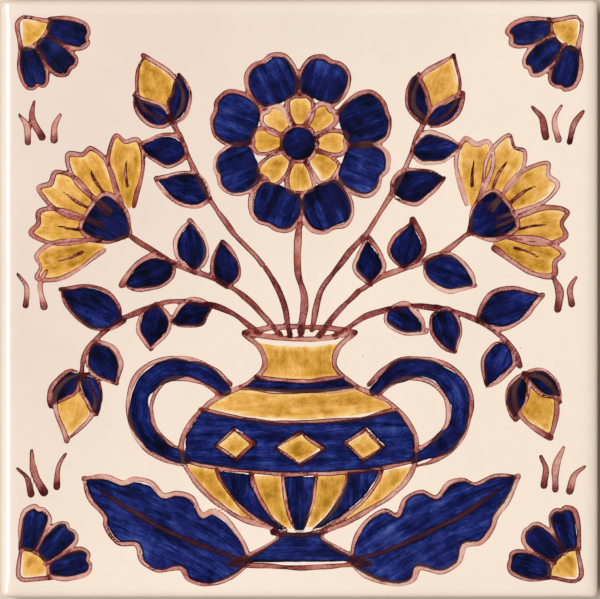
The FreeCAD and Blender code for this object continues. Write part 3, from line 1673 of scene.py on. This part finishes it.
class Graph:
    """Adds nodes to one tree and joins them."""

    def __init__(self, tree: bpy.types.NodeTree) -> None:
        """Starts on a tree.

        Args:
            tree: The tree to work in.
        """
        self.tree = tree

    def add(self, kind: str, **settings: object) -> bpy.types.Node:
        """Adds a node and sets its properties.

        Args:
            kind: The node's type.
            **settings: Properties and their values.

        Returns:
            The node.
        """
        node = self.tree.nodes.new(kind)
        for name, value in settings.items():
            setattr(node, name, value)
        return node

    def feed(self, socket: Socket, value: object) -> None:
        """Joins another socket to an input, or sets the input's own value.

        Args:
            socket: The input.
            value: Another node's output, or a number or colour.
        """
        if isinstance(value, Socket):
            self.tree.links.new(value, socket)
        else:
            socket.default_value = value

    def math(self, operation: str, *values: Number, clamp: bool = False) -> Socket:
        """One step of arithmetic.

        Args:
            operation: Blender's name of the step.
            *values: What it works on.
            clamp: Whether to keep the result between 0 and 1.

        Returns:
            The result.
        """
        node = self.add("ShaderNodeMath", operation=operation, use_clamp=clamp)
        for socket, value in zip(node.inputs, values):
            self.feed(socket, value)
        return node.outputs[0]

    def swing(self, value: Socket, share: float) -> Socket:
        """A noise value turned into a swing about zero."""
        return self.math("MULTIPLY", self.math("SUBTRACT", value, 0.5), share)

    def total(self, *values: Number) -> Socket:
        """Adds several values up.

        Args:
            *values: The values.

        Returns:
            Their sum.
        """
        result = values[0]
        for value in values[1:]:
            result = self.math("ADD", result, value)
        return result

    def vector(self, x: Number, y: Number, z: Number) -> Socket:
        """Makes a vector.

        Args:
            x: Its first number.
            y: Its second number.
            z: Its third number.

        Returns:
            The vector.
        """
        node = self.add("ShaderNodeCombineXYZ")
        for socket, value in zip(node.inputs, (x, y, z)):
            self.feed(socket, value)
        return node.outputs[0]

    def split(self, vector: Socket) -> tuple[Socket, ...]:
        """Takes a vector apart.

        Args:
            vector: The vector.

        Returns:
            Its three numbers.
        """
        node = self.add("ShaderNodeSeparateXYZ")
        self.feed(node.inputs[0], vector)
        return tuple(node.outputs)

    def noise(self, place: Socket, scale: float, detail: float = 2.0, roughness: float = 0.5) -> Socket:
        """Soft noise about one half.

        Args:
            place: Where to read it.
            scale: Its features per mm.
            detail: Number of finer layers.
            roughness: Strength of the finer layers.

        Returns:
            The noise value.
        """
        node = self.add("ShaderNodeTexNoise", noise_dimensions="3D")
        settings = {"Vector": place, "Scale": scale, "Detail": detail, "Roughness": roughness}
        for name, value in settings.items():
            self.feed(node.inputs[name], value)
        return node.outputs[0]

    def spread(
        self, value: Number, low: float, high: float, first: float = 0.0, last: float = 1.0
    ) -> Socket:
        """Turns a range of numbers softly into another.

        Args:
            value: The number.
            low: Where the range starts.
            high: Where it ends.
            first: Result at its start.
            last: Result at its end.

        Returns:
            The result.
        """
        node = self.add("ShaderNodeMapRange", interpolation_type="SMOOTHSTEP")
        for socket, part in zip(node.inputs, (value, low, high, first, last)):
            self.feed(socket, part)
        return node.outputs[0]

    def blend(self, share: Number, first: object, second: object) -> Socket:
        """Mixes two colours.

        Args:
            share: Share of the second colour.
            first: The first colour.
            second: The second colour.

        Returns:
            The mixture.
        """
        node = self.add("ShaderNodeMix", data_type="RGBA")
        for number, value in ((0, share), (6, first), (7, second)):
            self.feed(node.inputs[number], value)
        return node.outputs[2]

    def ramp(self, value: Socket, stops: Sequence[tuple[float, Colour]]) -> Socket:
        """Colours along a range of numbers.

        Args:
            value: The number.
            stops: Place and colour of each stop.

        Returns:
            The colour.
        """
        node = self.add("ShaderNodeValToRGB")
        while len(node.color_ramp.elements) < len(stops):
            node.color_ramp.elements.new(0.5)
        for element, (place, colour) in zip(node.color_ramp.elements, stops):
            element.position = place
            element.color = colour
        self.feed(node.inputs[0], value)
        return node.outputs[0]

    def group(self, tree: bpy.types.NodeTree, values: dict[str, object]) -> bpy.types.Node:
        """Places a node group and feeds its inputs.

        Args:
            tree: The group.
            values: Its inputs by name.

        Returns:
            The group's node.
        """
        node = self.add("ShaderNodeGroup", node_tree=tree)
        for name, value in values.items():
            self.feed(node.inputs[name], value)
        return node

    def relief(self, height: Socket, strength: float, distance: float) -> Socket:
        """A normal bent by a height.

        Args:
            height: The height, 0 to 1.
            strength: How strongly it bends the normal.
            distance: What a height of 1 stands for, in mm.

        Returns:
            The normal.
        """
        node = self.add("ShaderNodeBump")
        for name, value in (("Height", height), ("Strength", strength), ("Distance", distance * MM)):
            self.feed(node.inputs[name], value)
        return node.outputs[0]


def place_in_mm(graph: Graph) -> Socket:
    """Reads the point on the tile.

    Args:
        graph: The graph to read it in.

    Returns:
        The point in mm from the tile's origin.
    """
    coordinates = graph.add("ShaderNodeTexCoord")
    scaled = graph.add("ShaderNodeVectorMath", operation="SCALE")
    graph.feed(scaled.inputs[0], coordinates.outputs["Object"])
    graph.feed(scaled.inputs["Scale"], 1.0 / MM)
    return scaled.outputs[0]


def new_material(name: str) -> tuple[bpy.types.Material, Graph, bpy.types.Node]:
    """Starts a material with an empty surface shader.

    Args:
        name: The material's name.

    Returns:
        The material, its graph and its surface shader.
    """
    material = bpy.data.materials.new(name)
    material.use_nodes = True
    material.node_tree.nodes.clear()
    graph = Graph(material.node_tree)
    surface = graph.add("ShaderNodeBsdfPrincipled")
    output = graph.add("ShaderNodeOutputMaterial")
    graph.feed(output.inputs["Surface"], surface.outputs[0])
    return material, graph, surface


class GroupShelf:
    """The shader groups that more than one finish uses, each built once."""

    def __init__(self) -> None:
        """Builds every group."""
        self.brush = self.make_brush()
        self.glaze = self.make_glaze()
        self.clay = self.make_clay()

    def start(
        self, name: str, inputs: Sequence[str], outputs: Sequence[str]
    ) -> tuple[Graph, dict[str, Socket], bpy.types.Node]:
        """Starts a group with its sockets: Place is a vector, Colour a colour, all others numbers.

        Args:
            name: The group's name.
            inputs: Names of its inputs.
            outputs: Names of its outputs.

        Returns:
            The graph, the inputs by name and the output node.
        """
        tree = bpy.data.node_groups.new(name, "ShaderNodeTree")
        kinds = {"Place": "NodeSocketVector", "Colour": "NodeSocketColor"}
        for labels, side in ((inputs, "INPUT"), (outputs, "OUTPUT")):
            for label in labels:
                kind = kinds.get(label, "NodeSocketFloat")
                tree.interface.new_socket(name=label, in_out=side, socket_type=kind)
        graph = Graph(tree)
        source = graph.add("NodeGroupInput")
        return graph, {label: source.outputs[label] for label in inputs}, graph.add("NodeGroupOutput")

    def make_brush(self) -> bpy.types.NodeTree:
        """The group that turns a measured mark into its mask, its rim and its hair streaks.

        Returns:
            The group.
        """
        graph, given, sink = self.start(
            "brush_mark",
            ("Edge", "Along", "Across", "Ragged", "Rim Width", "Stretch"),
            ("Mask", "Rim", "Body", "Band", "Hair"),
        )
        slow = graph.math("MULTIPLY", given["Along"], given["Stretch"])
        band = graph.noise(graph.vector(slow, given["Across"], 0.0), scale=0.55, roughness=0.55)
        hair_place = graph.vector(graph.math("MULTIPLY", slow, 1.6), given["Across"], 7.0)
        hair = graph.noise(hair_place, scale=2.6, detail=3.0, roughness=0.65)
        push = graph.math("ADD", graph.swing(band, 1.0), graph.swing(hair, 0.6))
        edge = graph.math("ADD", given["Edge"], graph.math("MULTIPLY", push, given["Ragged"]))
        graph.feed(sink.inputs["Mask"], graph.spread(edge, -0.06, 0.06))
        width = graph.math("MULTIPLY", edge, graph.math("DIVIDE", 1.0, given["Rim Width"]))
        wake = graph.vector(slow, graph.math("MULTIPLY", given["Across"], 0.7), 3.0)
        wear = graph.noise(wake, scale=0.5, roughness=0.6)
        uneven = graph.spread(wear, 0.34, 0.6, first=0.25, last=1.0)
        graph.feed(sink.inputs["Rim"], graph.math("MULTIPLY", graph.spread(width, 1.0, 0.45), uneven))
        graph.feed(sink.inputs["Body"], graph.spread(edge, 0.0, 1.5))
        graph.feed(sink.inputs["Band"], band)
        graph.feed(sink.inputs["Hair"], hair)
        return graph.tree

    def make_glaze(self) -> bpy.types.NodeTree:
        """The group of the tin glaze: slow cloudiness, rare pinholes, its uneven height.

        Returns:
            The group.
        """
        graph, given, sink = self.start("tin_glaze", ("Place",), ("Cloud", "Pinhole", "Height"))
        place = given["Place"]
        slow = graph.math("MULTIPLY", graph.noise(place, scale=0.035, detail=3.0, roughness=0.55), 0.7)
        mottle = graph.math("MULTIPLY", graph.noise(place, scale=0.5, detail=3.0, roughness=0.6), 0.3)
        peel = graph.noise(place, scale=0.42)
        cells = graph.add("ShaderNodeTexVoronoi", feature="F1", voronoi_dimensions="3D")
        graph.feed(cells.inputs["Vector"], place)
        graph.feed(cells.inputs["Scale"], 0.12)
        rare = graph.math("GREATER_THAN", graph.split(cells.outputs["Color"])[0], 0.6)
        hole = graph.math("MULTIPLY", graph.spread(cells.outputs["Distance"], 0.03, 0.014), rare)
        graph.feed(sink.inputs["Cloud"], graph.math("ADD", slow, mottle))
        graph.feed(sink.inputs["Pinhole"], hole)
        graph.feed(sink.inputs["Height"], graph.math("SUBTRACT", peel, hole))
        return graph.tree

    def make_clay(self) -> bpy.types.NodeTree:
        """The group of the bare fired clay: patches, iron specks, kiln dust and grain.

        Returns:
            The group.
        """
        graph, given, sink = self.start("bare_clay", ("Place",), ("Colour", "Height", "Rough"))
        place = given["Place"]
        patch = graph.noise(place, scale=0.06, detail=4.0, roughness=0.6)
        grain = graph.noise(place, scale=3.2, detail=3.0, roughness=0.7)
        stops = (
            (0.3, paint_colour(198, 150, 118)),
            (0.5, paint_colour(214, 170, 138)),
            (0.72, paint_colour(224, 188, 160)),
        )
        iron = graph.spread(graph.noise(place, scale=1.5, roughness=0.7), 0.7, 0.77, last=0.7)
        freckled = graph.blend(iron, graph.ramp(patch, stops), paint_colour(128, 74, 50))
        dust = graph.spread(grain, 0.35, 0.7, last=0.32)
        graph.feed(sink.inputs["Colour"], graph.blend(dust, freckled, paint_colour(232, 212, 190)))
        graph.feed(sink.inputs["Height"], grain)
        graph.feed(sink.inputs["Rough"], graph.spread(patch, 0.3, 0.7, first=0.72, last=0.92))
        return graph.tree


@dataclass(frozen=True)
class PigmentFinish:
    """How one pigment looks once it has sunk into the glaze.

    stops are its colours from the thinnest to the deepest; the shares say how much each
    effect deepens it; ragged and rim_width are in mm; stretch draws its streaks out; other_hue
    is what it turns to in patches; scales are features per mm.
    """

    pigment: Pigment
    stops: tuple[tuple[float, Colour], ...]
    ragged: float
    rim_width: float
    stretch: float
    band_share: float
    hair_share: float
    grain_share: float
    cloud_share: float
    cloud_scale: float
    rim_share: float
    overlap_share: float
    other_hue: Colour
    other_share: float
    thin_share: float = 0.0
    grain_scale: float = 3.2
    patch_scale: float = 0.16

    def lay(self, graph: Graph, shelf: GroupShelf, place: Socket) -> tuple[Socket, Socket]:
        """Reads the pigment's attributes and works out its look.

        Args:
            graph: The material's graph.
            shelf: The shared groups.
            place: The point on the tile in mm.

        Returns:
            The pigment's colour and its mask.
        """
        name = self.pigment.value
        measured = graph.add("ShaderNodeAttribute", attribute_name=f"{name}_mark")
        brushed = graph.add("ShaderNodeAttribute", attribute_name=f"{name}_brush")
        edge, under, depth = graph.split(measured.outputs["Vector"])
        along, across, _ = graph.split(brushed.outputs["Vector"])
        given = {
            "Edge": edge, "Along": along, "Across": across,
            "Ragged": self.ragged, "Rim Width": self.rim_width, "Stretch": self.stretch,
        }
        brush = graph.group(shelf.brush, given)
        tone = graph.total(
            depth,
            graph.swing(brush.outputs["Band"], self.band_share),
            graph.swing(brush.outputs["Hair"], self.hair_share),
            graph.swing(graph.noise(place, self.grain_scale, roughness=0.6), self.grain_share),
            graph.swing(graph.noise(place, self.cloud_scale, 3.0, 0.6), self.cloud_share),
            graph.math("MULTIPLY", brush.outputs["Rim"], self.rim_share),
            graph.math("MULTIPLY", graph.spread(under, -0.05, 0.12), self.overlap_share),
            graph.swing(brush.outputs["Body"], self.thin_share),
        )
        slow = graph.noise(place, self.patch_scale, roughness=0.6)
        patch = graph.spread(slow, 0.42, 0.66, last=self.other_share)
        hue = graph.blend(patch, graph.ramp(tone, self.stops), self.other_hue)
        return hue, brush.outputs["Mask"]


@dataclass(frozen=True)
class PaintedGlaze:
    """Finish of the face: cream tin glaze with the three pigments sunk into it.

    painted_shade_up and painted_shade_right say how much darker and cooler painted shade makes it for
    each mm; gloss is its roughness where it is clear and where it is cloudy; relief_depth is in mm.
    """

    cream: Colour = paint_colour(248, 232, 215)
    # Darker, cooler cream, used for the painted shade towards the upper left and for the glaze's random
    # cloudiness.
    shade_and_cloud_cream: Colour = paint_colour(235, 217, 203)
    thin_cream: Colour = paint_colour(229, 196, 182)
    pinhole: Colour = paint_colour(150, 134, 124)
    line_on_blue: Colour = paint_colour(38, 14, 30)
    line_on_blue_share: float = 0.92
    painted_shade_up: float = 0.0036
    painted_shade_right: float = -0.006
    edge_thinness: float = 0.7
    pinhole_share: float = 0.7
    gloss: tuple[float, float] = (0.09, 0.15)
    paint_dulling: float = 0.02
    glaze_relief: float = 0.6
    paint_relief: float = 0.25
    relief_strength: float = 0.35
    relief_depth: float = 0.03
    manganese: PigmentFinish = PigmentFinish(
        Pigment.MANGANESE,
        (
            (0.0, paint_colour(232, 192, 176)),
            (0.3, paint_colour(214, 158, 144)),
            (0.55, paint_colour(178, 106, 100)),
            (0.78, paint_colour(120, 48, 50)),
            (1.0, paint_colour(62, 12, 18)),
        ),
        ragged=0.2, rim_width=0.3, stretch=0.3, band_share=0.5, hair_share=0.3, grain_share=0.7,
        cloud_share=0.5, cloud_scale=0.4, rim_share=0.66, overlap_share=0.24,
        other_hue=paint_colour(176, 88, 58), other_share=0.28,
    )
    cobalt: PigmentFinish = PigmentFinish(
        Pigment.COBALT,
        (
            (0.0, paint_colour(80, 98, 162)),
            (0.3, paint_colour(40, 55, 130)),
            (0.55, paint_colour(14, 27, 88)),
            (0.78, paint_colour(4, 9, 46)),
            (1.0, paint_colour(1, 2, 14)),
        ),
        ragged=0.7, rim_width=0.6, stretch=0.1, band_share=1.15, hair_share=0.95, grain_share=0.4,
        cloud_share=1.0, cloud_scale=0.24, rim_share=0.5, overlap_share=0.2,
        other_hue=paint_colour(28, 26, 92), other_share=0.35,
    )
    ochre: PigmentFinish = PigmentFinish(
        Pigment.OCHRE,
        (
            (0.0, paint_colour(248, 220, 164)),
            (0.3, paint_colour(243, 197, 118)),
            (0.55, paint_colour(231, 172, 86)),
            (0.78, paint_colour(206, 148, 58)),
            (1.0, paint_colour(166, 116, 26)),
        ),
        ragged=0.6, rim_width=0.4, stretch=0.16, band_share=0.7, hair_share=0.5, grain_share=0.35,
        cloud_share=1.2, cloud_scale=0.3, rim_share=0.0, overlap_share=0.1,
        other_hue=paint_colour(214, 160, 48), other_share=0.3, thin_share=0.4,
    )

    def ground(self, graph: Graph, place: Socket, glaze: bpy.types.Node) -> Socket:
        """The bare glaze: painted shade darkens and cools it towards the upper left over random
        cloudiness; it is thin and pinkish on the cushion edge.

        Args:
            graph: The material's graph.
            place: The point on the tile in mm.
            glaze: The placed glaze group.

        Returns:
            Its colour.
        """
        x, y, z = graph.split(place)
        # Painted shade: darker and cooler towards the upper left, with the glaze's random cloudiness
        # added in.
        upward = graph.math("MULTIPLY", y, self.painted_shade_up)
        towards = graph.total(upward, graph.math("MULTIPLY", x, self.painted_shade_right))
        cloud = graph.swing(glaze.outputs["Cloud"], 1.3)
        shade_and_cloud = graph.math("ADD", graph.spread(towards, -0.24, 0.5), cloud, clamp=True)
        colour = graph.blend(shade_and_cloud, self.cream, self.shade_and_cloud_cream)
        thin = graph.spread(z, 6.8, 5.7, last=self.edge_thinness)
        colour = graph.blend(thin, colour, self.thin_cream)
        holes = graph.math("MULTIPLY", glaze.outputs["Pinhole"], self.pinhole_share)
        return graph.blend(holes, colour, self.pinhole)

    def build(self, shelf: GroupShelf) -> bpy.types.Material:
        """Builds the material.

        Args:
            shelf: The shared groups.

        Returns:
            The finished material.
        """
        material, graph, surface = new_material("painted_glaze")
        place = place_in_mm(graph)
        glaze = graph.group(shelf.glaze, {"Place": place})
        colour = self.ground(graph, place, glaze)
        yellow, yellow_mask = self.ochre.lay(graph, shelf, place)
        blue, blue_mask = self.cobalt.lay(graph, shelf, place)
        line, line_mask = self.manganese.lay(graph, shelf, place)
        colour = graph.blend(yellow_mask, colour, yellow)
        colour = graph.blend(blue_mask, colour, blue)
        crossing = graph.math("MULTIPLY", blue_mask, self.line_on_blue_share)
        colour = graph.blend(line_mask, colour, graph.blend(crossing, line, self.line_on_blue))
        graph.feed(surface.inputs["Base Color"], colour)
        painted = graph.math("MAXIMUM", line_mask, blue_mask)
        gloss = graph.spread(glaze.outputs["Cloud"], 0.3, 0.7, *self.gloss)
        gloss = graph.math("ADD", gloss, graph.math("MULTIPLY", painted, self.paint_dulling))
        graph.feed(surface.inputs["Roughness"], gloss)
        height = graph.math("MULTIPLY", glaze.outputs["Height"], self.glaze_relief)
        height = graph.math("ADD", height, graph.math("MULTIPLY", painted, self.paint_relief))
        normal = graph.relief(height, self.relief_strength, self.relief_depth)
        graph.feed(surface.inputs["Normal"], normal)
        return material


@dataclass(frozen=True)
class GlazedSide:
    """Finish of the sides: glaze that ran down and stopped in an uneven line over bare clay.

    Heights are in mm above the back; milky_from and milky_to are where the glaze turns milky.
    """

    glaze_line: float = 2.6
    line_softness: float = 0.12
    run_depth: float = 5.0
    run_scale: float = 0.16
    bead_height: float = 0.9
    milky_from: float = 5.4
    milky_to: float = 4.2
    gloss: tuple[float, float] = (0.1, 0.18)
    relief_strength: float = 0.7
    relief_depth: float = 0.12
    cream: Colour = paint_colour(238, 216, 198)
    thin_cream: Colour = paint_colour(229, 196, 182)

    def build(self, shelf: GroupShelf) -> bpy.types.Material:
        """Builds the material.

        Args:
            shelf: The shared groups.

        Returns:
            The finished material.
        """
        material, graph, surface = new_material("glazed_side")
        place = place_in_mm(graph)
        x, y, z = graph.split(place)
        clay = graph.group(shelf.clay, {"Place": place})
        glaze = graph.group(shelf.glaze, {"Place": place})
        runs = graph.noise(graph.vector(x, y, 0.0), self.run_scale, detail=3.0, roughness=0.55)
        level = graph.math("ADD", z, graph.swing(runs, self.run_depth))
        low, high = self.glaze_line - self.line_softness, self.glaze_line + self.line_softness
        glazed = graph.spread(level, low, high)
        bead = graph.spread(level, self.glaze_line + self.bead_height, self.glaze_line + 0.1)
        milky = graph.math("MAXIMUM", bead, graph.spread(z, self.milky_from, self.milky_to))
        skin = graph.blend(milky, self.thin_cream, self.cream)
        graph.feed(surface.inputs["Base Color"], graph.blend(glazed, clay.outputs["Colour"], skin))
        bare = graph.math("SUBTRACT", 1.0, glazed)
        gloss = graph.spread(glaze.outputs["Cloud"], 0.3, 0.7, *self.gloss)
        dull = graph.math("MULTIPLY", clay.outputs["Rough"], bare)
        rough = graph.math("ADD", dull, graph.math("MULTIPLY", gloss, glazed))
        graph.feed(surface.inputs["Roughness"], rough)
        grain = graph.math("MULTIPLY", clay.outputs["Height"], bare)
        skin_height = graph.math("MULTIPLY", glazed, graph.math("ADD", bead, 1.0))
        height = graph.math("ADD", grain, skin_height)
        normal = graph.relief(height, self.relief_strength, self.relief_depth)
        graph.feed(surface.inputs["Normal"], normal)
        return material


@dataclass(frozen=True)
class BareBack:
    """Finish of the back: bare clay, with painted shade that darkens it deeper in the pockets."""

    pocket_shade_tone: Colour = paint_colour(182, 136, 106)
    pocket_shade_share: float = 0.35
    relief_strength: float = 0.6
    relief_depth: float = 0.1

    def build(self, shelf: GroupShelf) -> bpy.types.Material:
        """Builds the material.

        Args:
            shelf: The shared groups.

        Returns:
            The finished material.
        """
        material, graph, surface = new_material("bare_back")
        place = place_in_mm(graph)
        clay = graph.group(shelf.clay, {"Place": place})
        # Painted shade: the clay gets darker towards the floor of each pocket.
        pocket_shade = graph.spread(graph.split(place)[2], 0.1, 0.8, last=self.pocket_shade_share)
        colour = graph.blend(pocket_shade, clay.outputs["Colour"], self.pocket_shade_tone)
        graph.feed(surface.inputs["Base Color"], colour)
        graph.feed(surface.inputs["Roughness"], clay.outputs["Rough"])
        normal = graph.relief(clay.outputs["Height"], self.relief_strength, self.relief_depth)
        graph.feed(surface.inputs["Normal"], normal)
        return material


# Studio


@dataclass(frozen=True)
class Lamp:
    """A soft oblong lamp that faces the tile, placed by heading and elevation in degrees.

    power is in watts; distance, length and height are in metres.
    """

    name: str
    heading: float
    elevation: float
    power: float
    distance: float = 3.0
    length: float = 2.2
    height: float = 2.2
    tint: Colour = (1.0, 0.99, 0.975, 1.0)

    def hang(self) -> None:
        """Hangs the lamp in the scene."""
        data = bpy.data.lights.new(self.name, "AREA")
        data.shape = "RECTANGLE"
        data.size = self.length
        data.size_y = self.height
        data.energy = self.power
        data.color = self.tint[:3]
        lamp = bpy.data.objects.new(self.name, data)
        heading, elevation = math.radians(self.heading), math.radians(self.elevation)
        level = self.distance * math.cos(elevation)
        above = self.distance * math.sin(elevation)
        lamp.location = (level * math.cos(heading), level * math.sin(heading), above)
        lamp.rotation_euler = (math.pi / 2.0 - elevation, 0.0, heading + math.pi / 2.0)
        bpy.context.scene.collection.objects.link(lamp)


@dataclass(frozen=True)
class Studio:
    """Pale floor, soft lamps and a camera that looks straight down on the tile.

    The long lamp at the left draws the narrow highlight along the cushion edge. frame_width
    and aim are in mm at the height of the face's edge; floor_reach is in metres.
    """

    form: TileForm
    lamps: tuple[Lamp, ...] = (
        Lamp("lamp_left", 174.0, 58.0, 114.0, length=3.8, height=0.7),
        Lamp("lamp_back", 84.0, 60.0, 10.0),
        Lamp("lamp_front", -96.0, 60.0, 4.0),
    )
    room_light: float = 0.06
    frame_width: float = 150.9
    aim: Point = (0.1, -0.18)
    lens: float = 150.0
    sensor: float = 36.0
    floor_reach: float = 3.0
    floor_tones: tuple[tuple[float, Colour], ...] = (
        (0.3, paint_colour(204, 196, 181)),
        (0.7, paint_colour(210, 202, 187)),
    )
    floor_roughness: float = 0.85

    def floor(self) -> bpy.types.Object:
        """Lays the pale floor under the tile.

        Returns:
            The floor.
        """
        reach = self.floor_reach
        square = ((-reach, -reach), (reach, -reach), (reach, reach), (-reach, reach))
        data = bpy.data.meshes.new("floor")
        data.from_pydata([(x, y, 0.0) for x, y in square], [], [(0, 1, 2, 3)])
        plane = bpy.data.objects.new("floor", data)
        bpy.context.scene.collection.objects.link(plane)
        material, graph, surface = new_material("floor_board")
        mottle = graph.noise(place_in_mm(graph), scale=0.02)
        graph.feed(surface.inputs["Base Color"], graph.ramp(mottle, self.floor_tones))
        graph.feed(surface.inputs["Roughness"], self.floor_roughness)
        data.materials.append(material)
        return plane

    def light(self) -> None:
        """Hangs the lamps and sets the even light of the room."""
        world = bpy.data.worlds.new("room")
        bpy.context.scene.world = world
        world.use_nodes = True
        background = world.node_tree.nodes["Background"]
        background.inputs["Color"].default_value = (1.0, 0.99, 0.97, 1.0)
        background.inputs["Strength"].default_value = self.room_light
        for lamp in self.lamps:
            lamp.hang()

    def camera(self) -> None:
        """Sets the camera straight above the tile, its frame just wider than the tile."""
        scene = bpy.context.scene
        data = bpy.data.cameras.new("camera")
        data.lens = self.lens
        data.sensor_width = self.sensor
        data.sensor_fit = "HORIZONTAL"
        camera = bpy.data.objects.new("camera", data)
        height = self.frame_width * self.lens / self.sensor + self.form.shoulder
        camera.location = (self.aim[0] * MM, self.aim[1] * MM, height * MM)
        scene.collection.objects.link(camera)
        scene.camera = camera
        scene.view_settings.view_transform = "Standard"


def main() -> None:
    """Builds the dressed tile and its studio."""
    logging.basicConfig(level=logging.INFO, format="%(name)s: %(message)s")
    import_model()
    form = TileForm.from_frame()
    maker = PaintedTile(form)
    tile = maker.build("painted_tile")
    maker.dress(tile, GroupShelf())
    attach(tile, "root")
    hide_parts(CAD_NODE)
    log.info("%s: %d points, %d faces", tile.name, len(tile.data.vertices), len(tile.data.polygons))
    studio = Studio(form)
    floor = studio.floor()
    studio.light()
    studio.camera()
    log.info("%s: laid, with %d lamps and the camera", floor.name, len(studio.lamps))


if __name__ == "__main__":
    main()
